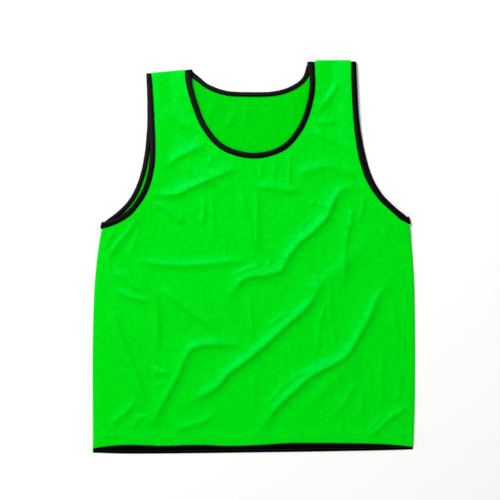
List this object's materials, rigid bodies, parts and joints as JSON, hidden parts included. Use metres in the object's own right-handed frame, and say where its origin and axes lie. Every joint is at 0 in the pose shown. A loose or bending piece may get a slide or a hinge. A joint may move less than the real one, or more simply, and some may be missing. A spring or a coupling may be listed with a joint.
{
  "type": "training bib",
  "caption": "Sleeveless training bib of thin green knit with black binding round its neck and armholes, laid out flat with soft folds.",
  "frame": {"origin": "middle of the bib's box, on the surface it lies on", "axes": "+Y up the garment from hem to shoulders, +X to the right as seen from above, +Z off the surface"},
  "size_m": [0.5794, 0.7068, 0.0115],
  "materials": {
    "green_knit": "thin polyester tricot knit in bright green, satin, with fine upright ribs",
    "black_binding": "matt black knitted binding and hem tape, stitched along the middle"
  },
  "bodies": {
    "root": {"back_panel": "green_knit", "front_panel": "green_knit", "neck_binding": "black_binding", "armhole_binding_left": "black_binding", "armhole_binding_right": "black_binding", "hem_tape": "black_binding"}
  },
  "joints": []
}
